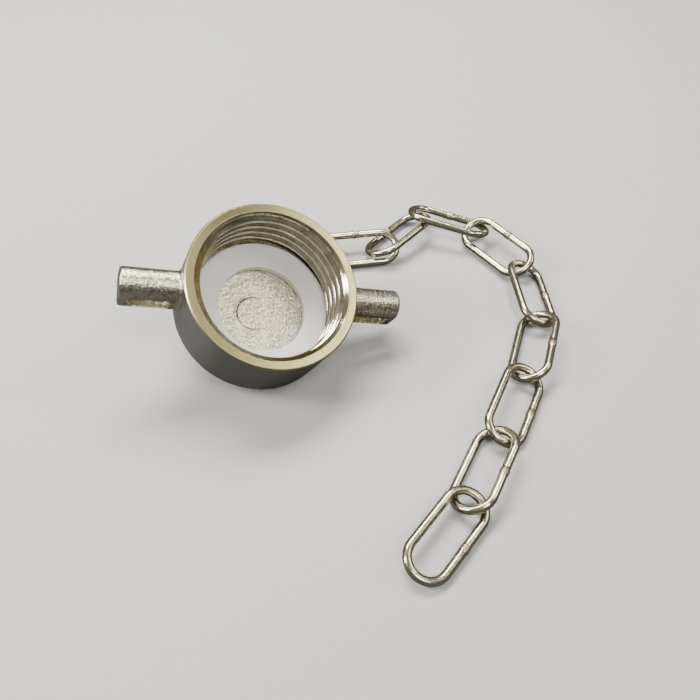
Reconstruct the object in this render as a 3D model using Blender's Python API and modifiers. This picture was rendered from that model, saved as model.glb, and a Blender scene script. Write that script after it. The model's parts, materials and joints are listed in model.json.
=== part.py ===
"""Deck fill cap: a cast screw cap with two slotted lugs, a captive gasket and a retaining chain.

The cap lies mouth up on a flat surface, leaning on its chain eye, with the chain laid out beside it.
Metres, +Z up. The origin is the centre of the whole object's footprint, on the surface it lies on.
"""

import math

import bmesh
import bpy
from mathutils import Matrix, Vector

MM = 0.001

# Cap casting. Heights are from the closed end's outer face, along the cap's axis.
CAP_RADIUS = 30.0 * MM
CAP_HEIGHT = 27.5 * MM
BASE_ROUNDING = 2.5 * MM
RIM_CHAMFER = 0.5 * MM
FLOOR_HEIGHT = 4.2 * MM
FLOOR_CORNER = 1.2 * MM
CAP_SEGMENTS = 72

# Round female thread, 52 mm nominal with six turns to the inch
THREAD_PITCH = 25.4 / 6 * MM
THREAD_MINOR_RADIUS = 24.4 * MM
THREAD_MAJOR_RADIUS = 26.2 * MM
THREAD_TURNS = 5
THREAD_STEPS = 36
THREAD_RUN_OUT = 2.5 * MM
THREAD_START = math.radians(32.2)
GROOVE_MOUTH_WIDTH = 2.8 * MM
GROOVE_ROOT_WIDTH = 1.2 * MM
MOUTH_CHAMFER_RADIUS = 26.9 * MM
RELIEF_RADIUS = 27.5 * MM
RELIEF_TOP_HEIGHT = 9.9 * MM
RELIEF_SHOULDER = 1.1 * MM

# Gasket ring lying loose on the inner floor, slid down the slope to the groove's wall
REST_GAP = 0.3 * MM
GASKET_OUTER_RADIUS = 25.6 * MM
GASKET_HOLE_RADIUS = 16.0 * MM
GASKET_THICKNESS = 3.1 * MM
GASKET_EDGE = 0.4 * MM

# The two lugs: bars rounded on the mouth side, each with a slot along it
LUG_TIP_RADIUS = 49.2 * MM
LUG_WIDTH = 11.2 * MM
LUG_TOP_HEIGHT = 22.9 * MM
LUG_BOTTOM_HEIGHT = 9.2 * MM
LUG_BOTTOM_ROUNDING = 2.4 * MM
LUG_END_BEVEL = 0.8 * MM
LUG_ROOT_DEPTH = 2.0 * MM
SLOT_INNER_RADIUS = 31.5 * MM
SLOT_OUTER_RADIUS = 46.6 * MM
SLOT_BOTTOM_HEIGHT = 10.9 * MM
SLOT_TOP_HEIGHT = 17.3 * MM
SLOT_CORNER = 2.2 * MM

# The chain eye in the middle of the closed end
EYE_HOLE_DEPTH = 7.0 * MM
EYE_HOLE_RADIUS = 3.6 * MM
EYE_OUTER_RADIUS = 6.6 * MM
EYE_THICKNESS = 5.0 * MM
EYE_BEVEL = 0.7 * MM
EYE_ROOT_DEPTH = 1.0 * MM

# How the cap lies: its axis leans by this much towards this heading, with the lugs turned about it
CAP_TILT = math.radians(30.5)
CAP_LEAN_HEADING = math.radians(-43.6)
LUG_TURN = math.radians(52.4)

# Chain links: round wire bent to a long oval and butt welded in the middle of one side
WIRE_RADIUS = 1.5 * MM
LINK_LENGTH = 36.5 * MM
LINK_WIDTH = 16.6 * MM
BOW_STEPS = 8
WELD_LENGTH = 2.4 * MM
WELD_SWELL = 1.12

# Where each link lies, from the cap outwards: its centre from the point under the mouth's centre (mm),
# the lift of its lowest point off the table (mm), its heading, its rise and its roll (degrees).
LINK_LAY = (
    (-10.0, 27.5, 0.0, 71, -10, 29),
    (4.0, 48.0, 0.0, 28, 0, -24),
    (28.0, 56.0, 0.75, 9, 0, 22),
    (45.8, 66.0, 0.5, 49, 0, -23),
    (67.6, 71.9, 2.75, -18.25, -5, -20),
    (87.3, 57.9, 1.25, -51.5, 0, 25),
    (98.0, 31.5, 0.25, -85, 0, -23),
    (94.5, 3.5, 0.25, -108, 0, 26),
    (83.5, -23.5, 0.0, -115, 0, -23),
    (70.0, -49.5, 0.0, -117, 0, 23),
    (56.0, -72.5, 0.25, -128, 0, -16),
)


def clear_scene():
    for obj in list(bpy.data.objects):
        bpy.data.objects.remove(obj)


def make_collection(name, cutters=False):
    collection = bpy.data.collections.new(name)
    bpy.context.scene.collection.children.link(collection)
    collection.hide_render = cutters
    return collection


def make_material(name, colour, roughness, metallic):
    material = bpy.data.materials.new(name)
    material.use_nodes = True
    shader = material.node_tree.nodes["Principled BSDF"]
    shader.inputs["Base Color"].default_value = (*colour, 1.0)
    shader.inputs["Roughness"].default_value = roughness
    shader.inputs["Metallic"].default_value = metallic
    return material


def make_empty(name, collection, parent=None):
    empty = bpy.data.objects.new(name, None)
    collection.objects.link(empty)
    empty.parent = parent
    return empty


def bake(obj, name, collection):
    """The object's evaluated shape as a plain closed mesh object, in place of the object itself."""
    bpy.context.view_layer.update()
    graph = bpy.context.evaluated_depsgraph_get()
    mesh = bpy.data.meshes.new_from_object(obj.evaluated_get(graph))
    shape = bmesh.new()
    shape.from_mesh(mesh)
    bmesh.ops.remove_doubles(shape, verts=shape.verts, dist=0.00001)
    bmesh.ops.holes_fill(shape, edges=shape.edges)
    bmesh.ops.recalc_face_normals(shape, faces=shape.faces)
    shape.to_mesh(mesh)
    shape.free()
    place = obj.matrix_world.copy()
    bpy.data.objects.remove(obj)
    baked = bpy.data.objects.new(name, mesh)
    baked.matrix_world = place
    collection.objects.link(baked)
    return baked


def turned(name, profile, segments, collection, closed=False):
    """A profile of (radius, height) points turned about the Z axis."""
    mesh = bpy.data.meshes.new(name)
    edges = [(i, i + 1) for i in range(len(profile) - 1)]
    if closed:
        edges.append((len(profile) - 1, 0))
    mesh.from_pydata([(radius, 0, height) for radius, height in profile], edges, [])
    obj = bpy.data.objects.new(name, mesh)
    collection.objects.link(obj)
    screw = obj.modifiers.new("turn", "SCREW")
    screw.steps = screw.render_steps = segments
    screw.use_merge_vertices = True
    screw.merge_threshold = 0.00001
    return obj


def plate(name, outline, thickness, collection):
    """A flat outline in the XY plane, thickened equally to both sides of it, as a closed mesh."""
    curve = bpy.data.curves.new(name, "CURVE")
    curve.dimensions = "2D"
    curve.fill_mode = "BOTH"
    curve.extrude = thickness / 2
    spline = curve.splines.new("POLY")
    spline.points.add(len(outline) - 1)
    for point, (x, y) in zip(spline.points, outline):
        point.co = (x, y, 0, 1)
    spline.use_cyclic_u = True
    obj = bpy.data.objects.new(name, curve)
    collection.objects.link(obj)
    return bake(obj, name, collection)


def arc(centre, radius, start, end, steps):
    """Points of an arc in the plane, angles in degrees."""
    points = []
    for step in range(steps + 1):
        angle = math.radians(start + (end - start) * step / steps)
        points.append((centre[0] + radius * math.cos(angle), centre[1] + radius * math.sin(angle)))
    return points


def rounded_box(left, right, bottom, top, corner, steps):
    return (
        arc((right - corner, top - corner), corner, 0, 90, steps)
        + arc((left + corner, top - corner), corner, 90, 180, steps)
        + arc((left + corner, bottom + corner), corner, 180, 270, steps)
        + arc((right - corner, bottom + corner), corner, 270, 360, steps)
    )


def boolean(obj, other, operation):
    """Cuts or joins with a helper object, which is hidden from renders."""
    modifier = obj.modifiers.new(f"{operation.lower()}_{other.name}", "BOOLEAN")
    modifier.operation = operation
    modifier.object = other
    other.hide_render = True
    other.display_type = "WIRE"


def apply_place(obj, matrix):
    """Moves the mesh itself, so that the object's own origin stays on the cap's axis."""
    obj.data.transform(matrix)


def shade(obj, material, angle=35):
    obj.data.materials.append(material)
    obj.data.shade_smooth()
    obj.data.set_sharp_from_angle(angle=math.radians(angle))


def cap_shell(collection):
    """The turned cup: inner floor, relief groove, thread bore, flat rim, outer wall and closed end."""
    chamfer_depth = MOUTH_CHAMFER_RADIUS - THREAD_MINOR_RADIUS
    profile = [(0, FLOOR_HEIGHT)]
    corner = (RELIEF_RADIUS - FLOOR_CORNER, FLOOR_HEIGHT + FLOOR_CORNER)
    profile += arc(corner, FLOOR_CORNER, 270, 360, 3)
    profile += [
        (RELIEF_RADIUS, RELIEF_TOP_HEIGHT),
        (THREAD_MINOR_RADIUS, RELIEF_TOP_HEIGHT + RELIEF_SHOULDER),
        (THREAD_MINOR_RADIUS, CAP_HEIGHT - chamfer_depth),
        (MOUTH_CHAMFER_RADIUS, CAP_HEIGHT),
        (CAP_RADIUS - RIM_CHAMFER, CAP_HEIGHT),
        (CAP_RADIUS, CAP_HEIGHT - RIM_CHAMFER),
    ]
    profile += arc((CAP_RADIUS - BASE_ROUNDING, BASE_ROUNDING), BASE_ROUNDING, 0, -90, 4)
    profile.append((0, 0))
    return bake(turned("shell", profile, CAP_SEGMENTS, collection), "cap_body", collection)


def thread_groove(collection):
    """The helical groove between the thread's crests, as a cutter that runs out of the mouth."""
    half_mouth = GROOVE_MOUTH_WIDTH / 2
    half_root = GROOVE_ROOT_WIDTH / 2
    inside = THREAD_MINOR_RADIUS - 0.6 * MM
    profile = [
        (THREAD_MAJOR_RADIUS, half_root),
        (THREAD_MAJOR_RADIUS, -half_root),
        (inside, -half_mouth),
        (inside, half_mouth),
    ]
    obj = turned("thread_groove", profile, THREAD_STEPS, collection, closed=True)
    screw = obj.modifiers["turn"]
    screw.screw_offset = THREAD_PITCH
    screw.iterations = THREAD_TURNS
    groove = bake(obj, "thread_groove", collection)
    start = CAP_HEIGHT + THREAD_RUN_OUT - THREAD_TURNS * THREAD_PITCH
    apply_place(groove, Matrix.Translation((0, 0, start)) @ Matrix.Rotation(THREAD_START, 4, "Z"))
    return groove


def lug_pair(collection):
    """One lug at +X and one at -X, each a bar along the radius and rounded on the mouth side."""
    half = LUG_WIDTH / 2
    section = arc((0, LUG_TOP_HEIGHT - half), half, 0, 180, 12)
    foot = LUG_BOTTOM_ROUNDING
    section += arc((-half + foot, LUG_BOTTOM_HEIGHT + foot), foot, 180, 270, 3)
    section += arc((half - foot, LUG_BOTTOM_HEIGHT + foot), foot, 270, 360, 3)
    root = CAP_RADIUS - LUG_ROOT_DEPTH
    length = LUG_TIP_RADIUS - root
    upright = Matrix(((0, 0, 1, 0), (1, 0, 0, 0), (0, 1, 0, 0), (0, 0, 0, 1)))
    lugs = []
    for name, side in (("lug_right", 1), ("lug_left", -1)):
        lug = plate(name, section, length, collection)
        apply_place(lug, Matrix.Translation((side * (root + length / 2), 0, 0)) @ upright)
        bevel = lug.modifiers.new("end_rounding", "BEVEL")
        bevel.width = LUG_END_BEVEL
        bevel.segments = 2
        bevel.limit_method = "ANGLE"
        bevel.angle_limit = math.radians(60)
        lugs.append(lug)
    return lugs


def slot_pair(collection):
    """The slots through the lugs, cut across them."""
    outline = rounded_box(SLOT_INNER_RADIUS, SLOT_OUTER_RADIUS, SLOT_BOTTOM_HEIGHT, SLOT_TOP_HEIGHT,
                          SLOT_CORNER, 3)
    slots = []
    for name, turn in (("slot_right", 0), ("slot_left", math.pi)):
        slot = plate(name, outline, 2 * LUG_WIDTH, collection)
        apply_place(slot, Matrix.Rotation(turn, 4, "Z") @ Matrix.Rotation(math.pi / 2, 4, "X"))
        slots.append(slot)
    return slots


def chain_eye(collection):
    """A flat ear with a hole, standing on the middle of the closed end across the lugs."""
    outline = arc((0, -EYE_HOLE_DEPTH), EYE_OUTER_RADIUS, 180, 360, 14)
    outline += [(EYE_OUTER_RADIUS, EYE_ROOT_DEPTH), (-EYE_OUTER_RADIUS, EYE_ROOT_DEPTH)]
    across = Matrix.Rotation(math.pi / 2, 4, "Z") @ Matrix.Rotation(math.pi / 2, 4, "X")
    ear = plate("eye_ear", outline, EYE_THICKNESS, collection)
    hole_outline = arc((0, -EYE_HOLE_DEPTH), EYE_HOLE_RADIUS, 0, 345, 23)
    hole = plate("eye_hole", hole_outline, 2 * EYE_THICKNESS, collection)
    for piece in (ear, hole):
        apply_place(piece, across)
    bevel = ear.modifiers.new("edge_rounding", "BEVEL")
    bevel.width = EYE_BEVEL
    bevel.segments = 2
    bevel.limit_method = "ANGLE"
    bevel.angle_limit = math.radians(60)
    boolean(ear, hole, "DIFFERENCE")
    return ear


def cap_body(parts, cutters, material, parent):
    body = cap_shell(parts)
    for lug in lug_pair(cutters):
        boolean(body, lug, "UNION")
    boolean(body, chain_eye(cutters), "UNION")
    for slot in slot_pair(cutters):
        boolean(body, slot, "DIFFERENCE")
    boolean(body, thread_groove(cutters), "DIFFERENCE")
    shade(body, material)
    for piece in [body, *cutters.objects]:
        piece.parent = parent
    return body


def gasket(parts, material, parent):
    bottom = FLOOR_HEIGHT + REST_GAP
    top = bottom + GASKET_THICKNESS
    edge = GASKET_EDGE
    profile = [
        (GASKET_HOLE_RADIUS + edge, top),
        (GASKET_OUTER_RADIUS - edge, top),
        (GASKET_OUTER_RADIUS, top - edge),
        (GASKET_OUTER_RADIUS, bottom + FLOOR_CORNER),
        (GASKET_OUTER_RADIUS - FLOOR_CORNER, bottom),
        (GASKET_HOLE_RADIUS + edge, bottom),
        (GASKET_HOLE_RADIUS, bottom + edge),
        (GASKET_HOLE_RADIUS, top - edge),
    ]
    ring = turned("gasket", profile, CAP_SEGMENTS, parts, closed=True)
    shade(ring, material)
    ring.parent = parent
    slide = RELIEF_RADIUS - GASKET_OUTER_RADIUS - REST_GAP
    ring.location = Matrix.Rotation(-LUG_TURN, 4, "Z") @ Vector((slide, 0, 0))
    return ring


def link_wire(name, parts):
    """One link in its own plane: long axis X, centred, with the weld in the middle of its +Y side."""
    bow = LINK_WIDTH / 2 - WIRE_RADIUS
    straight = LINK_LENGTH / 2 - WIRE_RADIUS - bow
    curve = bpy.data.curves.new(name, "CURVE")
    curve.dimensions = "3D"
    curve.bevel_depth = WIRE_RADIUS
    curve.bevel_resolution = 2
    path = arc((straight, 0), bow, -90, 90, BOW_STEPS)
    weld_start = len(path)
    path += [(WELD_LENGTH / 2, bow), (0, bow), (-WELD_LENGTH / 2, bow)]
    path += arc((-straight, 0), bow, 90, 270, BOW_STEPS)
    spline = curve.splines.new("POLY")
    spline.points.add(len(path) - 1)
    for point, (x, y) in zip(spline.points, path):
        point.co = (x, y, 0, 1)
    spline.points[weld_start + 1].radius = WELD_SWELL
    spline.use_cyclic_u = True
    obj = bpy.data.objects.new(name, curve)
    parts.objects.link(obj)
    return bake(obj, name, parts)


def link_turn(heading, rise, roll):
    """The rotation of a link that points along its heading, with its far end raised by rise."""
    return (
        Matrix.Rotation(math.radians(heading), 4, "Z")
        @ Matrix.Rotation(math.radians(-rise), 4, "Y")
        @ Matrix.Rotation(math.radians(roll), 4, "X")
    )


def place_under(obj, parent, matrix):
    """Parents an object and gives it this place in the world."""
    obj.parent = parent
    bpy.context.view_layer.update()
    obj.matrix_world = matrix


def chain(parts, material, root, eye_turn, eye_point):
    """Links from the cap outwards, each under an empty at its pivot.

    The first link swings about the hole of the cap's eye. Every other link slides round the inside of
    the bow before it, so its pivot is that bow's centre and its axis the pivot's own Z.
    """
    bow_centre = Vector((LINK_LENGTH / 2 - LINK_WIDTH / 2, 0, 0))
    pivot_place = Matrix.Translation(eye_point) @ eye_turn @ Matrix.Rotation(math.pi / 2, 4, "Y")
    parent = root
    wire = link_wire("link_wire", parts)
    shade(wire, material, 50)
    mesh = wire.data
    bpy.data.objects.remove(wire)
    for number, (x, y, lift, heading, rise, roll) in enumerate(LINK_LAY, start=1):
        pivot = make_empty(f"link_{number:02d}_pivot", parts)
        place_under(pivot, parent, pivot_place)
        turn = link_turn(heading, rise, roll)
        lowest = min((turn @ vertex.co).z for vertex in mesh.vertices)
        place = Matrix.Translation((x * MM, y * MM, lift * MM - lowest)) @ turn
        link = bpy.data.objects.new(f"link_{number:02d}", mesh)
        parts.objects.link(link)
        place_under(link, pivot, place)
        parent = pivot
        pivot_place = place @ Matrix.Translation(bow_centre)


def rest_on_footprint(root, parts):
    """Moves the whole object so that its footprint's centre is the origin and its lowest point is at zero."""
    bpy.context.view_layer.update()
    graph = bpy.context.evaluated_depsgraph_get()
    points = []
    for obj in parts.objects:
        if obj.type == "MESH":
            shape = obj.evaluated_get(graph).to_mesh()
            points += [obj.matrix_world @ vertex.co for vertex in shape.vertices]
    low = [min(point[axis] for point in points) for axis in range(3)]
    high = [max(point[axis] for point in points) for axis in range(3)]
    root.location -= Vector(((low[0] + high[0]) / 2, (low[1] + high[1]) / 2, low[2]))


def main():
    clear_scene()
    parts = make_collection("deck_fill_cap")
    cutters = make_collection("cutters", cutters=True)
    steel_cast = make_material("cast_stainless", (0.50, 0.48, 0.42), 0.34, 1.0)
    steel_wire = make_material("wire_stainless", (0.46, 0.44, 0.38), 0.22, 1.0)
    white_plastic = make_material("white_plastic", (0.86, 0.87, 0.85), 0.42, 0.0)

    root = make_empty("cap_on_table", parts)
    cap = make_empty("cap_axis", parts, root)
    lean = Matrix.Rotation(CAP_LEAN_HEADING, 4, "Z") @ Matrix.Rotation(CAP_TILT, 4, "Y")
    turn = lean @ Matrix.Rotation(LUG_TURN, 4, "Z")
    edge_radius = CAP_RADIUS - BASE_ROUNDING
    base_height = edge_radius * math.sin(CAP_TILT) + BASE_ROUNDING * (1 - math.cos(CAP_TILT))
    axis = turn.to_3x3() @ Vector((0, 0, 1))
    base = Vector((-axis.x * CAP_HEIGHT, -axis.y * CAP_HEIGHT, base_height))
    cap.matrix_local = Matrix.Translation(base) @ turn

    cap_body(parts, cutters, steel_cast, cap)
    gasket(parts, white_plastic, cap)
    chain(parts, steel_wire, root, turn, base - axis * EYE_HOLE_DEPTH)
    rest_on_footprint(root, parts)


main()
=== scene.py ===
"""The looks of the deck fill cap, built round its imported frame: the casting, the gasket and the chain.

Shapes are worked out in millimetres, each in the frame of its own CAD part, and placed by that part.
"""

import json
import math

import bmesh
import bpy
import numpy as np
from mathutils import Matrix, Vector, noise


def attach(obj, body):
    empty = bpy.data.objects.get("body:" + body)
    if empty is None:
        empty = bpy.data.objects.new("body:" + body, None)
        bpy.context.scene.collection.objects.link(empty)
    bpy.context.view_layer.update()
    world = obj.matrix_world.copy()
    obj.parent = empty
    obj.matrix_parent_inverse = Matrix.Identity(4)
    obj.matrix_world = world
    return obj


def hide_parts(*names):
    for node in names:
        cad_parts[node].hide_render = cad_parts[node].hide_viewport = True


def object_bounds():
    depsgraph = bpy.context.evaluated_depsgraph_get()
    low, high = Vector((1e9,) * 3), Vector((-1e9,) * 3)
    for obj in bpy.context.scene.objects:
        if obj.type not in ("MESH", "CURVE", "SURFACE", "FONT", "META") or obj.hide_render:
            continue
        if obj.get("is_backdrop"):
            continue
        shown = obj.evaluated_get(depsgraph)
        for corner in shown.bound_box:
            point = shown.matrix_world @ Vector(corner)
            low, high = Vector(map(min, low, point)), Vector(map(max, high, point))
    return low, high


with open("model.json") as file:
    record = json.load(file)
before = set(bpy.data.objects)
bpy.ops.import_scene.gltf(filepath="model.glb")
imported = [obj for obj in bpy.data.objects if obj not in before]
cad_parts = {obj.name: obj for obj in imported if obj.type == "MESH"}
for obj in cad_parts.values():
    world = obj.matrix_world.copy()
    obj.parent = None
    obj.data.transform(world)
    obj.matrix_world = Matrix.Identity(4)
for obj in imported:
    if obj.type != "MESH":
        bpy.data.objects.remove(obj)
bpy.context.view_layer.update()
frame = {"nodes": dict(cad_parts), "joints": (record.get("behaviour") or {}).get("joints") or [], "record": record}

MM = 0.001

# Cap casting. Heights are from the closed end's outer face, along the cap's axis.
CAP_RADIUS = 30.0
CAP_HEIGHT = 27.5
BASE_ROUNDING = 2.5
RIM_CHAMFER = 0.5
EDGE_ROUNDING = 0.14
MOUTH_CHAMFER_RADIUS = 26.9
FLOOR_HEIGHT = 4.2
FLOOR_CORNER = 1.2
COLUMNS = 240

# Round female thread and the relief groove under it
THREAD_PITCH = 25.4 / 6
THREAD_MINOR_RADIUS = 24.4
THREAD_DEPTH = 1.8
THREAD_START_HEIGHT = 8.83
THREAD_START_ANGLE = math.radians(32.2)
ROOT_HALF_WIDTH = 0.15
CREST_FROM_ROOT = 1.7
RELIEF_RADIUS = 27.5
RELIEF_TOP_HEIGHT = 9.9
RELIEF_SHOULDER = 1.1

# Ring mark on the cast floor
MARK_CENTRE = (-1.5, -2.2)
MARK_RADIUS = 6.1
MARK_HALF_WIDTH = 0.17
MARK_DEPTH = 0.34
MARK_OPENING = math.radians(0)
MARK_OUTER_EDGE = 1.0

# Gasket ring
GASKET_OUTER_RADIUS = 25.5
GASKET_HOLE_RADIUS = 16.0
GASKET_BOTTOM = 4.5
GASKET_TOP = 7.6
GASKET_ROUNDING = 0.45
GASKET_DISH = 0.10
GASKET_WAVE = 0.03

# Lugs, each with a slot along it
LUG_TIP_RADIUS = 49.2
LUG_WIDTH = 11.2
LUG_TOP_HEIGHT = 22.9
LUG_BOTTOM_HEIGHT = 9.2
LUG_BOTTOM_ROUNDING = 2.4
LUG_END_ROUNDING = 1.1
LUG_FILLET = 1.4
LUG_ROOT_DEPTH = 1.2
LUG_OUTLINE_SPACING = 0.32
SLOT_INNER_RADIUS = 31.5
SLOT_OUTER_RADIUS = 46.6
SLOT_BOTTOM_HEIGHT = 10.9
SLOT_TOP_HEIGHT = 17.3
SLOT_CORNER = 2.2
SLOT_EDGE_ROUNDING = 0.5

# Chain eye under the closed end
EYE_HOLE_DEPTH = 7.0
EYE_HOLE_RADIUS = 3.6
EYE_OUTER_RADIUS = 6.6
EYE_THICKNESS = 5.0
EYE_ROUNDING = 1.0
EYE_FILLET = 1.2
EYE_ROOT_DEPTH = 1.4

# A fillet stops this far round, so that it meets the face it runs into at a clear angle.
FILLET_END = math.radians(72)

# Point spacing along the outlines of the cutters and the eye, and how far a cutter runs past its opening
OUTLINE_SPACING = 0.3
CUTTER_OVERRUN = 4.0

# Cast surface
GRAIN_SIZE = 0.75
GRAIN_HEIGHT = 0.045
SWELL_SIZE = 6.0
SWELL_HEIGHT = 0.05

# Chain links
LINK_LENGTH = 36.5
LINK_WIDTH = 16.6
CAD_WIRE_RADIUS = 1.5
WIRE_RADIUS = 1.48
WELD_SWELL = 0.11
WELD_HALF_LENGTH = 1.1
WELD_STEP = 0.07
WELD_LUMPS = 0.05
WIRE_WAVINESS = 0.012
BOW_WEAR_START = 12.5
BOW_WEAR_FADE = 2.0
SEED_SPACING = 31
BOW_STEPS = 40
SIDE_STEPS = 60
WIRE_COLUMNS = 28

# Camera, in metres and degrees, from the point under the mouth's centre
CAMERA_RIGHT = 0.0255
CAMERA_BACK = 0.1670
CAMERA_HEIGHT = 0.2014
CAMERA_DOWN = 49.7
CAMERA_ROLL = 0.78
CAMERA_LENS = 35.7

# Floor, and a room that is darker below than above. Metres.
FLOOR_SIZE = 12.0
FLOOR_COLOUR = (0.50, 0.50, 0.49)
FLOOR_IN_REFLECTIONS = (0.07, 0.07, 0.067)
ROOM_BELOW = (0.16, 0.16, 0.155)
ROOM_ABOVE = (0.55, 0.54, 0.50)
ROOM_STRENGTH = 0.6

# Softboxes: name, place and size in metres, power in watts, colour
SOFTBOXES = (
    ("overhead", (-0.12, 0.42, 0.72), (0.60, 0.26), 12.5, (1.0, 0.985, 0.95)),
    ("fill", (0.25, -0.42, 0.85), (0.30, 0.30), 4.0, (1.0, 1.0, 1.0)),
    ("warm_card", (0.80, 0.12, 0.75), (0.40, 0.40), 3.2, (1.0, 0.94, 0.80)),
    ("left_strip", (-0.70, -0.10, 0.55), (0.20, 0.50), 8.0, (1.0, 0.99, 0.97)),
)
SOFTBOX_TARGET = (0.0, 0.0, 0.02)

# Colours, linear
CAST_COLOUR = (0.70, 0.665, 0.52)
CAST_FLOOR_COLOUR = (0.84, 0.80, 0.62)
# Painted shade: the dark colour laid along the groove of the floor's ring mark.
MARK_GROOVE_SHADE_COLOUR = (0.10, 0.085, 0.055)
# Partly the turned steel's tint, partly a painted warm reflection of the room the rim faces.
RIM_TINT_AND_WARM_REFLECTION = (0.54, 0.49, 0.25)
WALL_COLOUR = (0.60, 0.59, 0.55)
THREAD_COLOUR = (0.68, 0.64, 0.49)
THREAD_TARNISH_COLOUR = (0.42, 0.37, 0.24)
PLASTIC_COLOUR = (0.90, 0.91, 0.89)
PLASTIC_CLEAN_COLOUR = (0.95, 0.95, 0.93)
PLASTIC_GRIME_COLOUR = (0.55, 0.55, 0.52)
WIRE_COLOUR = (0.56, 0.53, 0.40)
WIRE_FILM_COLOUR = (0.42, 0.385, 0.27)
WIRE_GREASE_COLOUR = (0.20, 0.17, 0.12)
WELD_COLOUR = (0.40, 0.31, 0.19)
WORN_WIRE_COLOUR = (0.74, 0.71, 0.60)


# ---------------------------------------------------------------- mesh tools


def skin(name, rows, ring=False):
    """A closed mesh through equal loops of points. The ends are closed, unless the loops make a ring."""
    rows = np.asarray(rows, float)
    count, columns = rows.shape[:2]
    index = np.arange(count * columns).reshape(count, columns)
    first = index if ring else index[:-1]
    second = np.roll(index, -1, axis=0) if ring else index[1:]
    faces = np.stack([first, np.roll(first, -1, axis=1), np.roll(second, -1, axis=1), second], axis=-1)
    faces = faces.reshape(-1, 4).tolist()
    if not ring:
        faces += [index[0][::-1].tolist(), index[-1].tolist()]
    mesh = bpy.data.meshes.new(name)
    mesh.from_pydata((rows.reshape(-1, 3) * MM).tolist(), [], faces)
    shape = bmesh.new()
    shape.from_mesh(mesh)
    bmesh.ops.recalc_face_normals(shape, faces=shape.faces)
    shape.to_mesh(mesh)
    shape.free()
    obj = bpy.data.objects.new(name, mesh)
    bpy.context.scene.collection.objects.link(obj)
    return obj


def arc(centre, radius, start, end, steps):
    """Points of an arc in the plane, angles in degrees."""
    angles = np.radians(np.linspace(start, end, steps + 1))
    return [(centre[0] + radius * math.cos(a), centre[1] + radius * math.sin(a)) for a in angles]


def rounded_corner(before, corner, after, radius, steps=4):
    """The arc that takes the place of a corner of an outline."""
    before, corner, after = (Vector(point) for point in (before, corner, after))
    back = (before - corner).normalized()
    ahead = (after - corner).normalized()
    half = back.angle(ahead) / 2
    middle = corner + (back + ahead).normalized() * radius / math.sin(half)
    start = corner + back * radius / math.tan(half) - middle
    end = corner + ahead * radius / math.tan(half) - middle
    points = []
    for step in range(steps + 1):
        direction = start.normalized().slerp(end.normalized(), step / steps)
        points.append(tuple(middle + direction * radius))
    return points


def turned(profile, columns=COLUMNS):
    """Loops of points of a (radius, height) profile turned about Z."""
    profile = np.asarray(profile, float)
    angles = np.arange(columns) * 2 * math.pi / columns
    around = np.stack([np.cos(angles), np.sin(angles)], axis=-1)
    rows = np.empty((len(profile), columns, 3))
    rows[..., :2] = profile[:, None, :1] * around
    rows[..., 2] = profile[:, 1:]
    return rows


def even_outline(points, spacing):
    """The closed outline with points at even distances, and the outward direction at each."""
    points = np.asarray(points, float)
    closed = np.vstack([points, points[:1]])
    lengths = np.concatenate([[0], np.cumsum(np.linalg.norm(np.diff(closed, axis=0), axis=1))])
    count = int(round(lengths[-1] / spacing))
    places = np.arange(count) * lengths[-1] / count
    even = np.stack([np.interp(places, lengths, closed[:, axis]) for axis in range(2)], axis=-1)
    along = np.roll(even, -1, axis=0) - np.roll(even, 1, axis=0)
    along /= np.linalg.norm(along, axis=1)[:, None]
    return even, np.stack([along[:, 1], -along[:, 0]], axis=-1)


def fillet_offset(gap, radius):
    """How far a wall stands out at this gap above the face it runs into."""
    rise = 1 - np.clip(gap / radius, 1 - math.sin(FILLET_END), 1)
    return radius * (1 - np.sqrt(1 - rise ** 2))


def combine(obj, other, operation):
    """Joins or cuts with another closed object, which is used up."""
    modifier = obj.modifiers.new(operation.lower(), "BOOLEAN")
    modifier.operation = operation
    modifier.object = other
    modifier.solver = "MANIFOLD"
    bpy.context.view_layer.update()
    graph = bpy.context.evaluated_depsgraph_get()
    result = bpy.data.meshes.new_from_object(obj.evaluated_get(graph))
    obj.modifiers.clear()
    obj.data = result
    bpy.data.objects.remove(other)


def read_points(mesh):
    points = np.empty(len(mesh.vertices) * 3, np.float32)
    mesh.vertices.foreach_get("co", points)
    return points.reshape(-1, 3).astype(float)


def smooth(obj, angle=32):
    obj.data.shade_smooth()
    obj.data.set_sharp_from_angle(angle=math.radians(angle))


def write_vectors(mesh, name, vectors):
    data = mesh.attributes.new(name, "FLOAT_VECTOR", "POINT").data
    data.foreach_set("vector", np.asarray(vectors, np.float32).ravel())


def put_in_frame(obj, place):
    """Moves the mesh to its place in the frame. Each point keeps, for the materials, where it is in its own
    part, in millimetres, and the direction round that part's axis."""
    mesh = obj.data
    own = read_points(mesh) / MM
    write_vectors(mesh, "own_place", own)
    turning = np.cross((0.0, 0.0, 1.0), own) @ np.array(place.to_3x3()).T
    write_vectors(mesh, "turning", turning / (np.linalg.norm(turning, axis=1)[:, None] + 1e-9))
    mesh.transform(place)


# ---------------------------------------------------------------- places, read from the frame


def cap_place():
    """The cap's frame: origin on the closed end's outer face, X along the lugs, Z towards the mouth."""
    swing = next(joint for joint in frame["joints"] if joint["name"] == "link_01_swing")
    rim = next(mount for mount in frame["record"]["mounts"] if mount["name"] == "rim_face")
    up = Vector(rim["axis"]).normalized()
    across = Vector(swing["axis"])
    across = (across - up * across.dot(up)).normalized()
    place = Matrix((across, up.cross(across), up)).transposed().to_4x4()
    place.translation = Vector(swing["pos_m"]) + up * EYE_HOLE_DEPTH * MM
    return place


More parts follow.
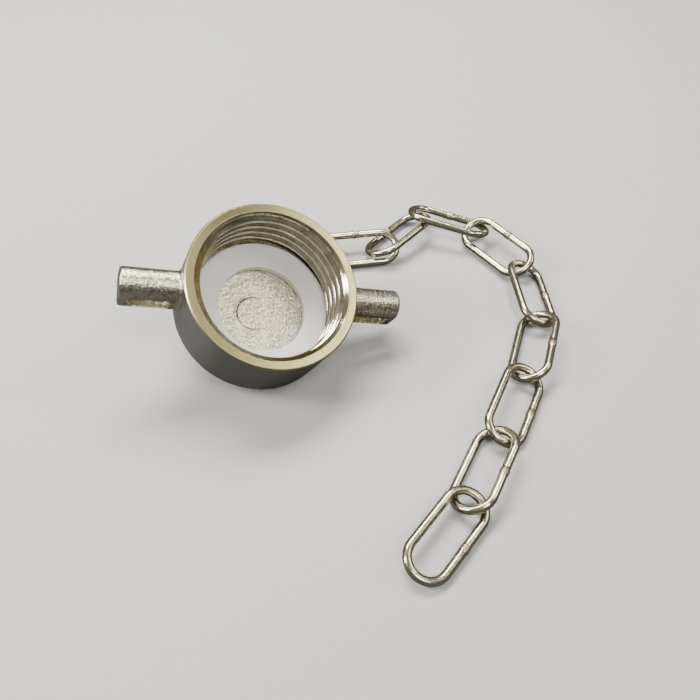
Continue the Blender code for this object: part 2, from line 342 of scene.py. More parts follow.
def link_place(node):
    """A link's frame: X along it, Z through its hole, and its weld on the +Y side."""
    points = read_points(node.data)
    middle = points.mean(axis=0)
    axes = np.linalg.svd(points - middle, full_matrices=False)[2]
    along, normal = axes[0], axes[2]
    side = np.cross(normal, along)
    local = (points - middle) @ np.stack([along, side, normal], axis=1)
    in_bows = np.abs(local[:, 0]) > LINK_LENGTH / 4 * MM
    centre = (local.max(axis=0) + local.min(axis=0)) / 2
    centre[1] = (local[in_bows, 1].max() + local[in_bows, 1].min()) / 2
    if local[:, 1].max() - centre[1] < centre[1] - local[:, 1].min():
        along, side, centre = -along, -side, centre * (-1, -1, 1)
    place = Matrix((along, side, normal)).transposed().to_4x4()
    place.translation = Vector(middle) + place.to_3x3() @ Vector(centre)
    return place


# ---------------------------------------------------------------- node materials


class Shader:
    """A short way to write a node tree: each call adds a node and returns its outputs."""

    def __init__(self, name):
        self.material = bpy.data.materials.new(name)
        self.material.use_nodes = True
        self.tree = self.material.node_tree
        self.surface = self.tree.nodes["Principled BSDF"]

    def add(self, kind, inputs=None, **settings):
        node = self.tree.nodes.new(f"ShaderNode{kind}")
        for key, value in settings.items():
            setattr(node, key, value)
        for key, value in (inputs or {}).items():
            self.put(node.inputs[key], value)
        return node.outputs

    def put(self, socket, value):
        if isinstance(value, bpy.types.NodeSocket):
            self.tree.links.new(value, socket)
        else:
            socket.default_value = value

    def math(self, operation, first, second=0.0, clamp=False):
        return self.add("Math", {0: first, 1: second}, operation=operation, use_clamp=clamp)[0]

    def vector(self, operation, first, second=(0, 0, 0)):
        return self.add("VectorMath", {0: first, 1: second}, operation=operation)

    def noise(self, vector, scale, detail=3.0, roughness=0.5, distortion=0.0):
        inputs = {"Vector": vector, "Scale": scale, "Detail": detail, "Roughness": roughness,
                  "Distortion": distortion}
        return self.add("TexNoise", inputs)[0]

    def ramp(self, value, *stops):
        """Maps a value through (position, level or colour) stops."""
        outputs = self.add("ValToRGB", {0: value})
        ramp = outputs[0].node.color_ramp
        for number, (position, level) in enumerate(stops):
            stop = ramp.elements[number] if number < 2 else ramp.elements.new(position)
            stop.position = position
            stop.color = (*level, 1) if isinstance(level, tuple) else (level, level, level, 1)
        return outputs[0]

    def blend(self, factor, first, second):
        mix = self.add("Mix", data_type="RGBA")[2].node
        self.put(mix.inputs[0], factor)
        self.put(mix.inputs[6], first if not isinstance(first, tuple) else (*first, 1))
        self.put(mix.inputs[7], second if not isinstance(second, tuple) else (*second, 1))
        return mix.outputs[2]

    def bump(self, height, distance, strength=1.0, below=None):
        inputs = {"Height": height, "Distance": distance * MM, "Strength": strength}
        if below is not None:
            inputs["Normal"] = below
        return self.add("Bump", inputs)[0]

    def finish(self, **inputs):
        for key, value in inputs.items():
            self.put(self.surface.inputs[key.replace("_", " ")], value)
        return self.material


def own_place(shader):
    """The point's place in its own part, in millimetres."""
    return shader.add("Attribute", attribute_name="own_place")["Vector"]


def around_axis(shader, place, turn_detail):
    """Coordinates that run with the lathe: rings about Z, changing only slowly round the turn."""
    parts = shader.add("SeparateXYZ", {0: place})
    flat = shader.add("CombineXYZ", {0: parts[0], 1: parts[1]})[0]
    radius = shader.vector("LENGTH", flat)[1]
    direction = shader.vector("NORMALIZE", flat)[0]
    turn = shader.add("SeparateXYZ", {0: direction})
    # Radius and height go in as one sum, because a turned wall has one and a turned face the other.
    rings = shader.math("ADD", radius, shader.math("MULTIPLY", parts[2], 1.37))
    rings_at = shader.add("CombineXYZ", {
        0: shader.math("MULTIPLY", turn[0], turn_detail),
        1: shader.math("MULTIPLY", turn[1], turn_detail),
        2: rings,
    })[0]
    turning = shader.add("Attribute", attribute_name="turning")["Vector"]
    tangent = shader.add("VectorTransform", {0: turning}, vector_type="VECTOR",
                         convert_from="OBJECT", convert_to="WORLD")[0]
    return rings_at, tangent


def turned_steel(name, colour, roughness, ring_height, anisotropy, ring_size=7.0):
    """Stainless turned on a lathe: fine rings, faint smears of coolant and a few handling scratches."""
    shader = Shader(name)
    place = own_place(shader)
    rings_at, tangent = around_axis(shader, place, 0.22)
    fine = shader.noise(rings_at, ring_size, 2.0, 0.6)
    broad = shader.noise(rings_at, ring_size / 9, 1.0)
    smears = shader.noise(place, 0.11, 3.0, 0.5)
    stretched = shader.vector("MULTIPLY", place, (0.25, 2.6, 1.1))[0]
    scratches = shader.ramp(shader.noise(stretched, 1.2, 2.0), (0.70, 0.0), (0.73, 1.0))
    rings = shader.math("ADD", fine, shader.math("MULTIPLY", broad, 0.8))
    height = shader.math("ADD", rings, shader.math("MULTIPLY", scratches, -0.3))
    normal = shader.bump(height, ring_height)
    darker = tuple(level * 0.84 for level in colour)
    tint = shader.blend(shader.ramp(smears, (0.35, 0.0), (0.7, 1.0)), colour, darker)
    lighter = tuple(min(1.0, level * 1.07) for level in colour)
    tint = shader.blend(shader.ramp(fine, (0.35, 0.0), (0.65, 0.55)), tint, lighter)
    dull = shader.math("ADD", shader.math("MULTIPLY", smears, 0.12), roughness - 0.06)
    dull = shader.math("ADD", dull, shader.math("MULTIPLY", fine, 0.05))
    return shader.finish(Base_Color=tint, Metallic=1.0, Roughness=dull, Normal=normal,
                         Anisotropic=anisotropy, Tangent=tangent)


def in_ring_mark(shader, place):
    """1 along the ring mark's groove and 0 elsewhere, fading towards the mark's open side at +X: where the
    groove's painted shade goes.
    """
    from_centre = shader.vector("SUBTRACT", place, (*MARK_CENTRE, 0))[0]
    from_centre = shader.vector("MULTIPLY", from_centre, (1, 1, 0))[0]
    distance = shader.vector("LENGTH", from_centre)[1]
    off_groove = shader.math("ABSOLUTE", shader.math("SUBTRACT", distance, MARK_RADIUS))
    share = shader.math("DIVIDE", off_groove, 2 * MARK_HALF_WIDTH)
    in_groove = shader.math("SUBTRACT", 1.0, share, clamp=True)
    to_opening = shader.add("SeparateXYZ", {0: shader.vector("NORMALIZE", from_centre)[0]})[0]
    return shader.math("MULTIPLY", in_groove, shader.ramp(to_opening, (0.1, 1.0), (0.6, 0.0)))


def cast_steel(name, colour, roughness, grain_size, grain_height, marked=False):
    """Investment-cast stainless after bead blasting: rounded grain and finer sparkle, with painted shade darkening
    the grain's hollows. The marked floor also has painted shade darkening its ring mark's groove."""
    shader = Shader(name)
    place = own_place(shader)
    grain = shader.noise(place, 1 / grain_size, 2.0, 0.55, 0.3)
    fine = shader.noise(place, 3.4 / grain_size, 3.0, 0.6)
    patches = shader.noise(place, 0.22, 3.0)
    pits = shader.add("TexVoronoi", {"Vector": place, "Scale": 0.9 / grain_size}, feature="SMOOTH_F1")[0]
    height = shader.math("ADD", grain, shader.math("MULTIPLY", fine, 0.35))
    height = shader.math("ADD", height, shader.math("MULTIPLY", pits, 0.4))
    normal = shader.bump(height, grain_height)
    # Painted shade: the colour darkens towards the grain's hollows, standing in for the shading of the bumps.
    shaded_hollow_colour = tuple(level * 0.42 for level in colour)
    hollow_shade_mask = shader.math("ADD", shader.math("MULTIPLY", grain, 0.55), shader.math("MULTIPLY", fine, 0.45))
    tint = shader.blend(shader.ramp(hollow_shade_mask, (0.40, 0.0), (0.56, 1.0)), shaded_hollow_colour, colour)
    worn = tuple(min(1.0, level * 1.12) for level in colour)
    tint = shader.blend(shader.ramp(patches, (0.45, 0.0), (0.7, 0.6)), tint, worn)
    dull = shader.math("ADD", shader.math("MULTIPLY", patches, 0.14), roughness - 0.07)
    dull = shader.math("SUBTRACT", dull, shader.math("MULTIPLY", grain, 0.10))
    if marked:
        # Painted shade: darkens the ring mark's groove, fading out towards its open side at +X.
        grime_and_groove_shade = in_ring_mark(shader, place)
        tint = shader.blend(shader.math("MULTIPLY", grime_and_groove_shade, 0.85), tint, MARK_GROOVE_SHADE_COLOUR)
        dull = shader.math("ADD", dull, shader.math("MULTIPLY", grime_and_groove_shade, 0.2))
    return shader.finish(Base_Color=tint, Metallic=1.0, Roughness=dull, Normal=normal)


def thread_steel():
    """The cut thread: bright, with tool lines along each turn and chatter across them."""
    shader = Shader("thread_steel")
    place = own_place(shader)
    rings_at, tangent = around_axis(shader, place, 0.5)
    lines = shader.noise(rings_at, 9.0, 2.0, 0.6)
    waves = shader.noise(shader.vector("MULTIPLY", rings_at, (26.0, 26.0, 0.5))[0], 1.0, 1.0)
    smears = shader.noise(place, 0.2, 4.0, 0.6)
    height = shader.math("ADD", lines, shader.math("MULTIPLY", waves, 6.0))
    normal = shader.bump(height, 0.008)
    tint = shader.blend(shader.ramp(smears, (0.35, 0.0), (0.7, 1.0)), THREAD_COLOUR, THREAD_TARNISH_COLOUR)
    dull = shader.math("ADD", shader.math("MULTIPLY", smears, 0.10), 0.06)
    return shader.finish(Base_Color=tint, Metallic=1.0, Roughness=dull, Normal=normal,
                         Anisotropic=0.35, Tangent=tangent)


def white_plastic():
    """Turned white plastic: waxy, with faint lathe rings, cloudy patches and a little grey grime."""
    shader = Shader("white_plastic")
    place = own_place(shader)
    rings_at, _ = around_axis(shader, place, 0.3)
    rings = shader.noise(rings_at, 4.0, 2.0)
    clouds = shader.noise(place, 0.12, 4.0, 0.6)
    grime_and_groove_shade = shader.ramp(shader.noise(place, 1.1, 3.0, 0.7), (0.62, 0.0), (0.78, 1.0))
    tint = shader.blend(shader.ramp(clouds, (0.3, 0.0), (0.7, 1.0)), PLASTIC_COLOUR, PLASTIC_CLEAN_COLOUR)
    tint = shader.blend(shader.math("MULTIPLY", grime_and_groove_shade, 0.25), tint, PLASTIC_GRIME_COLOUR)
    dull = shader.math("ADD", shader.math("MULTIPLY", clouds, 0.18), 0.30)
    normal = shader.bump(rings, 0.012)
    return shader.finish(Base_Color=tint, Roughness=dull, Normal=normal, Subsurface_Weight=0.15,
                         Subsurface_Scale=1.5 * MM, IOR=1.38)


def wire_steel():
    """Bright drawn wire: lines along it, dents, dark grease, polished bows and a straw-tinted weld."""
    shader = Shader("wire_steel")
    place = own_place(shader)
    along = shader.add("Attribute", attribute_name="along")["Fac"]
    weld = shader.add("Attribute", attribute_name="weld")["Fac"]
    wear = shader.add("Attribute", attribute_name="wear")["Fac"]
    seed = shader.add("ObjectInfo")["Random"]
    shift = shader.add("CombineXYZ", {0: shader.math("MULTIPLY", seed, 40.0)})[0]
    apart = shader.vector("ADD", place, shift)[0]
    around = shader.add("Attribute", attribute_name="around")["Vector"]
    around = shader.vector("MULTIPLY", around, (5.0, 5.0, 5.0))[0]
    slowly_along = shader.add("CombineXYZ", {2: shader.math("MULTIPLY", along, 0.18)})[0]
    lines = shader.noise(shader.vector("ADD", around, slowly_along)[0], 1.6, 3.0, 0.6)
    dents = shader.noise(apart, 0.75, 2.0)
    film = shader.noise(apart, 0.17, 4.0, 0.6)
    specks = shader.ramp(shader.noise(apart, 1.7, 3.0, 0.7), (0.62, 0.0), (0.74, 1.0))
    weld_grain = shader.math("MULTIPLY", shader.noise(apart, 2.8, 3.0), weld)
    height = shader.math("ADD", shader.math("MULTIPLY", lines, 0.5), dents)
    height = shader.math("ADD", height, shader.math("MULTIPLY", weld_grain, 2.0))
    normal = shader.bump(height, 0.05)
    tint = shader.blend(shader.ramp(film, (0.35, 0.0), (0.68, 1.0)), WIRE_COLOUR, WIRE_FILM_COLOUR)
    tint = shader.blend(shader.math("MULTIPLY", specks, 0.45), tint, WIRE_GREASE_COLOUR)
    tint = shader.blend(shader.math("MULTIPLY", weld, 0.55), tint, WELD_COLOUR)
    tint = shader.blend(shader.math("MULTIPLY", wear, 0.6), tint, WORN_WIRE_COLOUR)
    dull = shader.math("ADD", shader.math("MULTIPLY", film, 0.16), 0.12)
    dull = shader.math("ADD", dull, shader.math("MULTIPLY", weld, 0.14))
    dull = shader.math("ADD", dull, shader.math("MULTIPLY", specks, 0.15))
    return shader.finish(Base_Color=tint, Metallic=1.0, Roughness=dull, Normal=normal)


def floor_paint():
    """Plain pale matt paint, which metal reflects as the darker table such an object lies on."""
    shader = Shader("floor_paint")
    in_reflection = shader.add("LightPath")["Is Glossy Ray"]
    colour = shader.blend(in_reflection, FLOOR_COLOUR, FLOOR_IN_REFLECTIONS)
    return shader.finish(Base_Color=colour, Roughness=0.8, Specular_IOR_Level=0.2)


# ---------------------------------------------------------------- the casting


def smooth_max(first, second, rounding=0.08):
    return (first + second + np.sqrt((first - second) ** 2 + rounding ** 2)) / 2


def bore_radius(angle, height):
    """The bore's radius: a round right-hand thread, opened by the mouth's chamfer and the relief groove."""
    groove = THREAD_START_HEIGHT + THREAD_PITCH * (angle - THREAD_START_ANGLE) / (2 * math.pi)
    turns = (height - groove) / THREAD_PITCH
    from_root = np.abs(turns - np.round(turns)) * THREAD_PITCH
    share = np.clip((from_root - ROOT_HALF_WIDTH) / (CREST_FROM_ROOT - ROOT_HALF_WIDTH), 0, 1)
    thread = THREAD_MINOR_RADIUS + THREAD_DEPTH * (0.5 + 0.5 * np.cos(math.pi * share))
    chamfer = MOUTH_CHAMFER_RADIUS - (CAP_HEIGHT - height)
    slope = (RELIEF_RADIUS - THREAD_MINOR_RADIUS) / RELIEF_SHOULDER
    relief = np.minimum(RELIEF_RADIUS, RELIEF_RADIUS - (height - RELIEF_TOP_HEIGHT) * slope)
    return smooth_max(smooth_max(thread, chamfer), relief)


def floor_rows():
    """The cast floor with its shallow ring mark, which fades out on one side and has a fainter outer edge."""
    fine_from, fine_to = 3.2, 9.4
    radii = np.concatenate([
        np.arange(0.25, fine_from, 0.35),
        np.arange(fine_from, fine_to, 0.13),
        np.arange(fine_to, RELIEF_RADIUS - FLOOR_CORNER, 0.4),
    ])
    rows = turned([(radius, FLOOR_HEIGHT) for radius in radii])
    from_mark = rows[..., :2] - np.array(MARK_CENTRE)
    distance = np.linalg.norm(from_mark, axis=-1)
    turn = np.arctan2(from_mark[..., 1], from_mark[..., 0]) - MARK_OPENING
    shut = 0.5 - 0.5 * np.cos(turn)
    inner = np.exp(-((distance - MARK_RADIUS) / MARK_HALF_WIDTH) ** 2) * np.clip(shut * 2.2 - 0.5, 0, 1)
    from_outer = distance - MARK_RADIUS - MARK_OUTER_EDGE
    outer = np.exp(-(from_outer / MARK_HALF_WIDTH) ** 2) * np.clip(shut * 3 - 2, 0, 1)
    rows[..., 2] -= MARK_DEPTH * (inner + 0.5 * outer)
    return rows


def bore_rows():
    """The inner wall from the floor's corner up to the mouth's chamfer."""
    smooth_wall = np.arange(FLOOR_HEIGHT + FLOOR_CORNER, RELIEF_TOP_HEIGHT - 0.3, 0.6)
    threaded = np.arange(RELIEF_TOP_HEIGHT - 0.3, CAP_HEIGHT - 0.25, 0.14)
    heights = np.concatenate([smooth_wall, threaded])
    rows = turned([(1.0, height) for height in heights])
    angles = np.arange(COLUMNS) * 2 * math.pi / COLUMNS
    rows[..., :2] *= bore_radius(angles[None, :], heights[:, None])[..., None]
    return rows


def outer_profile():
    """From the mouth's inner edge over the rim, down the outer wall and across the closed end."""
    wall_top = (CAP_RADIUS, CAP_HEIGHT - RIM_CHAMFER)
    rim_edge = (CAP_RADIUS - RIM_CHAMFER, CAP_HEIGHT)
    mouth_edge = (MOUTH_CHAMFER_RADIUS, CAP_HEIGHT)
    in_mouth = (MOUTH_CHAMFER_RADIUS - 1, CAP_HEIGHT - 1)
    profile = rounded_corner(in_mouth, mouth_edge, rim_edge, 0.25)
    profile += [(radius, CAP_HEIGHT) for radius in np.linspace(27.3, 29.2, 6)]
    profile += rounded_corner(mouth_edge, rim_edge, wall_top, EDGE_ROUNDING)
    profile += rounded_corner(rim_edge, wall_top, (CAP_RADIUS, 0), EDGE_ROUNDING)
    profile += [(CAP_RADIUS, height) for height in np.arange(26.4, BASE_ROUNDING + 0.4, -0.5)]
    profile += arc((CAP_RADIUS - BASE_ROUNDING, BASE_ROUNDING), BASE_ROUNDING, 0, -90, 12)
    profile += [(radius, 0.0) for radius in np.arange(CAP_RADIUS - BASE_ROUNDING - 0.8, 0.3, -0.8)]
    return profile


def cap_shell():
    corner = (RELIEF_RADIUS - FLOOR_CORNER, FLOOR_HEIGHT + FLOOR_CORNER)
    corner_profile = arc(corner, FLOOR_CORNER, 270, 354, 6)
    rows = [floor_rows(), turned(corner_profile), bore_rows(), turned(outer_profile())]
    return skin("cap_casting", np.concatenate(rows))


def shrunk(loop, middle, shares):
    """Copies of a flat loop, each closer to a middle point in the loop's last two coordinates."""
    loops = []
    for share in shares:
        ring = loop.copy()
        ring[:, 1:] = middle + (loop[:, 1:] - middle) * share
        loops.append(ring)
    return loops


def lug(side):
    """One lug: its outline swept along the radius, with a rounded tip and a fillet into the wall."""
    half = LUG_WIDTH / 2
    foot = LUG_BOTTOM_ROUNDING
    outline = arc((0, LUG_TOP_HEIGHT - half), half, 0, 180, 60)
    outline += arc((-half + foot, LUG_BOTTOM_HEIGHT + foot), foot, 180, 270, 16)
    outline += arc((half - foot, LUG_BOTTOM_HEIGHT + foot), foot, 270, 360, 16)
    outline, outward = even_outline(outline, LUG_OUTLINE_SPACING)
    wall = np.sqrt(CAP_RADIUS ** 2 - outline[:, 0] ** 2)
    shaft_end = LUG_TIP_RADIUS - LUG_END_ROUNDING
    widest = fillet_offset(0.0, LUG_FILLET)
    # The root goes on into the wall, and is widest just inside it, so that the fillet's edge is a clean cut.
    stations = [(wall - LUG_ROOT_DEPTH, widest), (wall - 0.45, widest + 0.12)]
    for turn in np.linspace(FILLET_END, 0, 9):
        gap = LUG_FILLET * (1 - math.sin(turn))
        stations.append((wall + gap, fillet_offset(gap, LUG_FILLET)))
    start = wall + LUG_FILLET
    for share in np.linspace(0, 1, 52)[1:-1]:
        stations.append((start + (shaft_end - start) * share, 0.0))
    for turn in np.linspace(0, math.pi / 2, 8):
        inset = LUG_END_ROUNDING * (1 - math.cos(turn))
        stations.append((shaft_end + LUG_END_ROUNDING * math.sin(turn), -inset))
    rows = []
    for reach, offset in stations:
        rows.append(np.column_stack([np.broadcast_to(reach, len(outline)), outline + outward * offset]))
    middle = np.array([0, (LUG_TOP_HEIGHT + LUG_BOTTOM_HEIGHT) / 2])
    rows = np.array(rows + shrunk(rows[-1], middle, np.linspace(1, 0.02, 16)[1:]))
    rows[..., 0] *= side
    return skin("lug", rows)


def opening_stations(half, rounding, beyond=0.6):
    """(place, growth) pairs along a cutter that opens out where it leaves the material, on both sides."""
    start = half - rounding
    stations = [(place, 0.0) for place in np.linspace(0, start, 16)]
    for turn in np.linspace(0, FILLET_END, 7)[1:]:
        stations.append((start + rounding * math.sin(turn), rounding * (1 - math.cos(turn))))
    place, growth = stations[-1]
    widest = growth + beyond * math.sin(FILLET_END)
    stations += [(place + beyond * math.cos(FILLET_END), widest), (half + CUTTER_OVERRUN, widest)]
    return [(-place, growth) for place, growth in reversed(stations[1:])] + stations


def slot_cutter(side):
    corner = SLOT_CORNER
    left, right = SLOT_INNER_RADIUS + corner, SLOT_OUTER_RADIUS - corner
    low, high = SLOT_BOTTOM_HEIGHT + corner, SLOT_TOP_HEIGHT - corner
    outline = []
    for centre, start in (((right, high), 0), ((left, high), 90), ((left, low), 180), ((right, low), 270)):
        outline += arc(centre, corner, start, start + 90, 12)
    outline, outward = even_outline(outline, OUTLINE_SPACING)
    rows = []
    for across, growth in opening_stations(LUG_WIDTH / 2, SLOT_EDGE_ROUNDING):
        section = outline + outward * growth
        rows.append(np.column_stack([section[:, 0] * side, np.full(len(outline), across), section[:, 1]]))
    return skin("slot", rows)


def eye_hole_cutter():
    profile = [(EYE_HOLE_RADIUS + growth, place)
               for place, growth in opening_stations(EYE_THICKNESS / 2, EYE_ROUNDING)]
    rows = turned(profile, 96)[..., [2, 0, 1]]
    rows[..., 2] -= EYE_HOLE_DEPTH
    return skin("eye_hole", rows)


def chain_eye():
    """The flat ear for the chain on the closed end, with rounded edges and its foot spread into the face."""
    outline = arc((0, -EYE_HOLE_DEPTH), EYE_OUTER_RADIUS, 180, 360, 60)
    outline += [(EYE_OUTER_RADIUS, EYE_ROOT_DEPTH), (-EYE_OUTER_RADIUS, EYE_ROOT_DEPTH)]
    outline, outward = even_outline(outline, OUTLINE_SPACING)
    flat = EYE_THICKNESS / 2 - EYE_ROUNDING
    stations = [(place, 0.0) for place in np.linspace(0, flat, 5)]
    for turn in np.linspace(0, math.pi / 2, 8)[1:]:
        stations.append((flat + EYE_ROUNDING * math.sin(turn), EYE_ROUNDING * (1 - math.cos(turn))))
    stations = [(-place, inset) for place, inset in reversed(stations[1:])] + stations
    rows = []
    for across, inset in stations:
        rows.append(np.column_stack([np.full(len(outline), across), outline - outward * inset]))
    middle = np.array([0, -EYE_HOLE_DEPTH / 2])
    shares = np.linspace(1, 0.03, 22)[1:]
    rows = shrunk(rows[0], middle, shares)[::-1] + rows + shrunk(rows[-1], middle, shares)
    ear = skin("chain_eye", rows)
    for vertex in ear.data.vertices:
        sideways = Vector((vertex.normal.x, vertex.normal.y, 0))
        gap = -vertex.co.z / MM
        if gap < EYE_FILLET and sideways.length > 0.2:
            spread = fillet_offset(max(gap, 0.0), EYE_FILLET)
            vertex.co += sideways.normalized() * spread * MM
    return ear


def roughen(body):
    """Gives the cast surfaces a rolling grain in the mesh itself. The machined ones stay true."""
    mesh = body.data
    moves = []
    for vertex in mesh.vertices:
        place = vertex.co / MM
        radius = math.hypot(place.x, place.y)
        outside = max(radius - CAP_RADIUS - 0.15, -place.z - 0.1)
        on_floor = place.z < FLOOR_HEIGHT + 0.2 and radius < RELIEF_RADIUS - FLOOR_CORNER
        weight = min(1.0, max(outside / 0.8, 0.6 * (on_floor and place.z > 1)))
        if weight <= 0:
            moves.append(Vector())
            continue
        grain = noise.noise(place / GRAIN_SIZE) + 0.5 * noise.noise(place * 2.1 / GRAIN_SIZE)
        swell = noise.noise(place / SWELL_SIZE)
        moves.append(vertex.normal * weight * (GRAIN_HEIGHT * (grain - 0.6) + SWELL_HEIGHT * swell) * MM)
    for vertex, move in zip(mesh.vertices, moves):
        vertex.co += move


def finish_zones(body, materials):
    """One material for each way a face was made: cast outside or floor, turned rim or wall, cut thread."""
    cast, cast_floor, rim, wall, thread = range(5)
    body.data.materials.clear()
    for material in materials:
        body.data.materials.append(material)
    count = len(body.data.polygons)
    centres = np.empty(count * 3, np.float32)
    body.data.polygons.foreach_get("center", centres)
    centres = centres.reshape(-1, 3) / MM
    radius = np.hypot(centres[:, 0], centres[:, 1])
    height = centres[:, 2]
    zone = np.full(count, wall)
    zone[(radius > CAP_RADIUS + 0.1) | (height < -0.05)] = cast
    inside = (radius < CAP_RADIUS - 2.5) & (height > 2)
    zone[inside] = thread
    low = height < FLOOR_HEIGHT + FLOOR_CORNER * 0.6
    zone[inside & low & (radius < RELIEF_RADIUS - 0.3)] = cast_floor
    zone[(height > CAP_HEIGHT - RIM_CHAMFER - 0.1) & (radius > MOUTH_CHAMFER_RADIUS - 0.15)] = rim
    body.data.polygons.foreach_set("material_index", zone.astype(np.int32))


def cap_casting(place):
    body = cap_shell()
    for side in (1, -1):
        arm = lug(side)
        combine(arm, slot_cutter(side), "DIFFERENCE")
        combine(body, arm, "UNION")
    ear = chain_eye()
    combine(ear, eye_hole_cutter(), "DIFFERENCE")
    combine(body, ear, "UNION")
    roughen(body)
    finish_zones(body, [
        cast_steel("cast_steel", CAST_COLOUR, 0.30, 0.78, 0.16),
        cast_steel("cast_floor_steel", CAST_FLOOR_COLOUR, 0.31, 0.8, 0.16, marked=True),
        # The rim's khaki colour is partly a painted warm reflection.
        turned_steel("turned_rim_steel", RIM_TINT_AND_WARM_REFLECTION, 0.26, 0.003, 0.6),
        turned_steel("turned_wall_steel", WALL_COLOUR, 0.28, 0.0008, 0.5),
        thread_steel(),
    ])
    smooth(body)
    put_in_frame(body, place)
    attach(body, "cap")
    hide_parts("cap_body")


# ---------------------------------------------------------------- the gasket


def gasket_place(cap):
    """The cap's frame moved to the ring, which lies off the axis where it has slid down the slope."""
    points = read_points(frame["nodes"]["gasket"].data) - np.array(cap.translation)
    local = points @ np.array(cap.to_3x3())
    middle = (local.max(axis=0) + local.min(axis=0)) / 2
    return cap @ Matrix.Translation((middle[0], middle[1], 0))


def gasket(place):
    """The white ring on the inner floor, its edges eased and its face very slightly dished by use."""
    inner, outer = GASKET_HOLE_RADIUS, GASKET_OUTER_RADIUS
    corners = [(inner, GASKET_TOP), (outer, GASKET_TOP), (outer, GASKET_BOTTOM), (inner, GASKET_BOTTOM)]
    roundings = (GASKET_ROUNDING, GASKET_ROUNDING, FLOOR_CORNER, GASKET_ROUNDING)
    profile = []
    for number, (corner, rounding) in enumerate(zip(corners, roundings)):
        after = corners[(number + 1) % 4]
        rounded = rounded_corner(corners[number - 1], corner, after, rounding, 6)
        profile += rounded
        steps = 14 if number in (0, 2) else 4
        start, end = np.array(rounded[-1]), np.array(after)
        profile += [tuple(start + (end - start) * share) for share in np.linspace(0.06, 0.86, steps)]
    rows = turned(profile, 180)
    radius = np.linalg.norm(rows[..., :2], axis=-1)
    angle = np.arctan2(rows[..., 1], rows[..., 0])
    dish = np.clip((radius - inner) * (outer - radius) / 25, 0, 1)
    top = rows[..., 2] > (GASKET_TOP + GASKET_BOTTOM) / 2
    rows[..., 2] -= top * (GASKET_DISH * dish + GASKET_WAVE * dish * np.sin(3 * angle + 0.7))
    ring = skin("gasket_ring", rows, ring=True)
    ring.data.materials.append(white_plastic())
    smooth(ring, 40)
    put_in_frame(ring, place)
    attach(ring, "cap")
    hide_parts("gasket")


# ---------------------------------------------------------------- the chain


def link_path():
    """(centre, outward, along) of the wire's middle line round one link, from the weld and back to it."""
    bow = LINK_WIDTH / 2 - CAD_WIRE_RADIUS
    straight = LINK_LENGTH / 2 - CAD_WIRE_RADIUS - bow
    half_side = SIDE_STEPS // 2
    # Steps are shorter towards the weld, where the surface changes most.
    reach = straight * np.linspace(0, 1, half_side + 1) ** 1.5
    points = [((-x, bow), (0.0, 1.0)) for x in reach]
    for end in (-1, 1):
        turns = np.linspace(math.pi / 2, 3 * math.pi / 2, BOW_STEPS + 1)[1:]
        if end == 1:
            turns = turns + math.pi
            points += [((x, -bow), (0.0, -1.0)) for x in np.linspace(-straight, straight, 24)[1:]]
        for turn in turns:
            outward = (math.cos(turn), math.sin(turn))
            points.append(((end * straight + bow * outward[0], bow * outward[1]), outward))
    points += [((x, bow), (0.0, 1.0)) for x in reach[1:][::-1][1:]]
    centres = np.array([point for point, _ in points])
    outward = np.array([direction for _, direction in points])
    steps = np.linalg.norm(np.diff(centres, axis=0, prepend=centres[:1]), axis=1)
    return centres, outward, np.cumsum(steps)


def link_wire(name, seed):
    """One welded link in its own plane, with a raised weld, a small step across it and worn inner bows."""
    centres, outward, along = link_path()
    turns = np.arange(WIRE_COLUMNS) * 2 * math.pi / WIRE_COLUMNS
    on_weld_side = centres[:, 1] > 0
    from_weld = np.where(on_weld_side, centres[:, 0], 99.0)
    weld = 1 / (1 + (np.abs(from_weld) / WELD_HALF_LENGTH) ** 6)
    step = WELD_STEP * np.tanh(from_weld / 0.25) * np.exp(-(from_weld / 3.0) ** 2)
    rows = np.empty((len(centres), WIRE_COLUMNS, 3))
    wear = np.zeros(rows.shape[:2])
    for row, (centre, out) in enumerate(zip(centres, outward)):
        in_bow = min(1.0, max(0.0, (abs(centre[0]) - BOW_WEAR_START) / BOW_WEAR_FADE))
        for column, turn in enumerate(turns):
            across, up = CAD_WIRE_RADIUS * math.cos(turn), CAD_WIRE_RADIUS * math.sin(turn)
            at = Vector((centre[0], centre[1] + across, up + SEED_SPACING * seed))
            swell = WELD_SWELL * weld[row]
            swell += weld[row] * WELD_LUMPS * noise.noise(at * 2.3)
            radius = WIRE_RADIUS * (1 + min(swell, WELD_SWELL)) + WIRE_WAVINESS * noise.noise(at * 0.6)
            rows[row, column, :2] = centre + out * radius * math.cos(turn)
            rows[row, column, 2] = radius * math.sin(turn) + step[row]
            wear[row, column] = in_bow * max(0.0, -math.cos(turn)) ** 2
    link = skin(name, rows, ring=True)
    mesh = link.data
    around = np.zeros((len(centres), WIRE_COLUMNS, 3))
    around[..., 0], around[..., 1] = np.cos(turns), np.sin(turns)
    for key, values in (("along", along[:, None]), ("weld", weld[:, None]), ("wear", wear)):
        levels = np.broadcast_to(values, rows.shape[:2]).astype(np.float32)
        mesh.attributes.new(key, "FLOAT", "POINT").data.foreach_set("value", levels.ravel())
    write_vectors(mesh, "around", around)
    return link


def chain():
    material = wire_steel()
    nodes = sorted(name for name in frame["nodes"] if name.startswith("link_"))
    for seed, node in enumerate(nodes, start=1):
        wire = link_wire(f"{node}_wire", seed)
        wire.data.materials.append(material)
        smooth(wire, 50)
        put_in_frame(wire, link_place(frame["nodes"][node]))
        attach(wire, node)
        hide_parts(node)


# ---------------------------------------------------------------- floor, light and camera


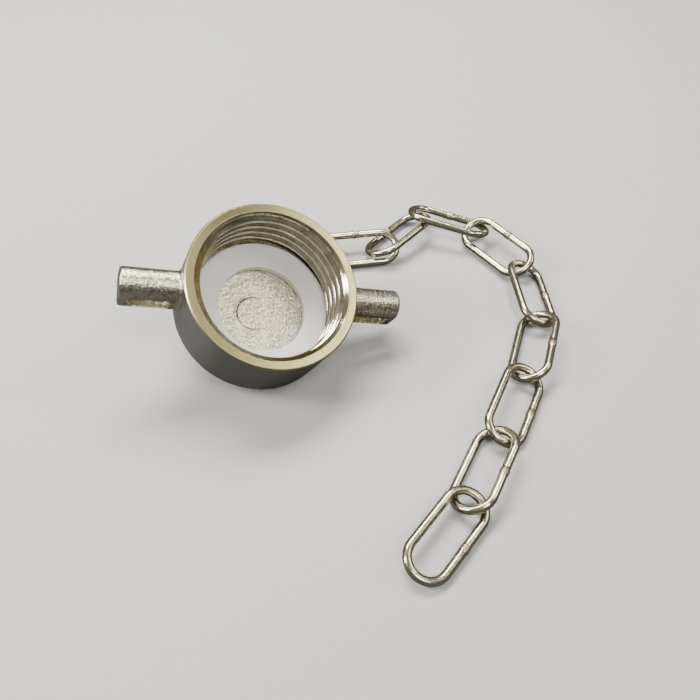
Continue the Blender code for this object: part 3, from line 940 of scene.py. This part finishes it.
def floor():
    """A plain pale floor, just touched by the object's lowest point."""
    mesh = bpy.data.meshes.new("floor")
    half = FLOOR_SIZE / 2
    corners = [(-half, -half, 0), (half, -half, 0), (half, half, 0), (-half, half, 0)]
    mesh.from_pydata(corners, [], [(0, 1, 2, 3)])
    obj = bpy.data.objects.new("floor", mesh)
    bpy.context.scene.collection.objects.link(obj)
    obj.location.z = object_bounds()[0].z
    mesh.materials.append(floor_paint())
    obj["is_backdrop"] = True


def softbox(name, place, size, power, colour):
    light = bpy.data.lights.new(name, "AREA")
    light.shape = "RECTANGLE"
    light.size, light.size_y = size
    light.energy = power
    light.color = colour
    obj = bpy.data.objects.new(name, light)
    bpy.context.scene.collection.objects.link(obj)
    obj.location = place
    obj.rotation_euler = (Vector(SOFTBOX_TARGET) - Vector(place)).to_track_quat("-Z", "Y").to_euler()


def studio():
    """A softbox behind and above the object, a fill at the mouth, cards at both sides and a dim room."""
    for box in SOFTBOXES:
        softbox(*box)
    world = bpy.data.worlds.new("studio")
    bpy.context.scene.world = world
    world.use_nodes = True
    tree = world.node_tree
    background = tree.nodes["Background"]
    coordinates = tree.nodes.new("ShaderNodeTexCoord")
    split = tree.nodes.new("ShaderNodeSeparateXYZ")
    ramp = tree.nodes.new("ShaderNodeValToRGB")
    tree.links.new(coordinates.outputs["Generated"], split.inputs[0])
    tree.links.new(split.outputs[2], ramp.inputs[0])
    tree.links.new(ramp.outputs[0], background.inputs["Color"])
    stops = ramp.color_ramp.elements
    stops[0].position, stops[0].color = 0.0, (*ROOM_BELOW, 1)
    stops[1].position, stops[1].color = 0.9, (*ROOM_ABOVE, 1)
    background.inputs["Strength"].default_value = ROOM_STRENGTH


def camera(cap):
    """Looks down on the object from the front, a little to the right of the cap."""
    mouth = cap @ Vector((0, 0, CAP_HEIGHT * MM))
    data = bpy.data.cameras.new("camera")
    data.sensor_width = 36.0
    data.lens = CAMERA_LENS
    data.clip_start = 0.01
    obj = bpy.data.objects.new("camera", data)
    bpy.context.scene.collection.objects.link(obj)
    place = Vector((mouth.x + CAMERA_RIGHT, mouth.y - CAMERA_BACK, CAMERA_HEIGHT))
    tilt = Matrix.Rotation(math.radians(90 - CAMERA_DOWN), 4, "X")
    obj.matrix_world = Matrix.Translation(place) @ tilt @ Matrix.Rotation(math.radians(CAMERA_ROLL), 4, "Z")
    bpy.context.scene.camera = obj


cap = cap_place()
cap_casting(cap)
gasket(gasket_place(cap))
chain()
floor()
studio()
camera(cap)
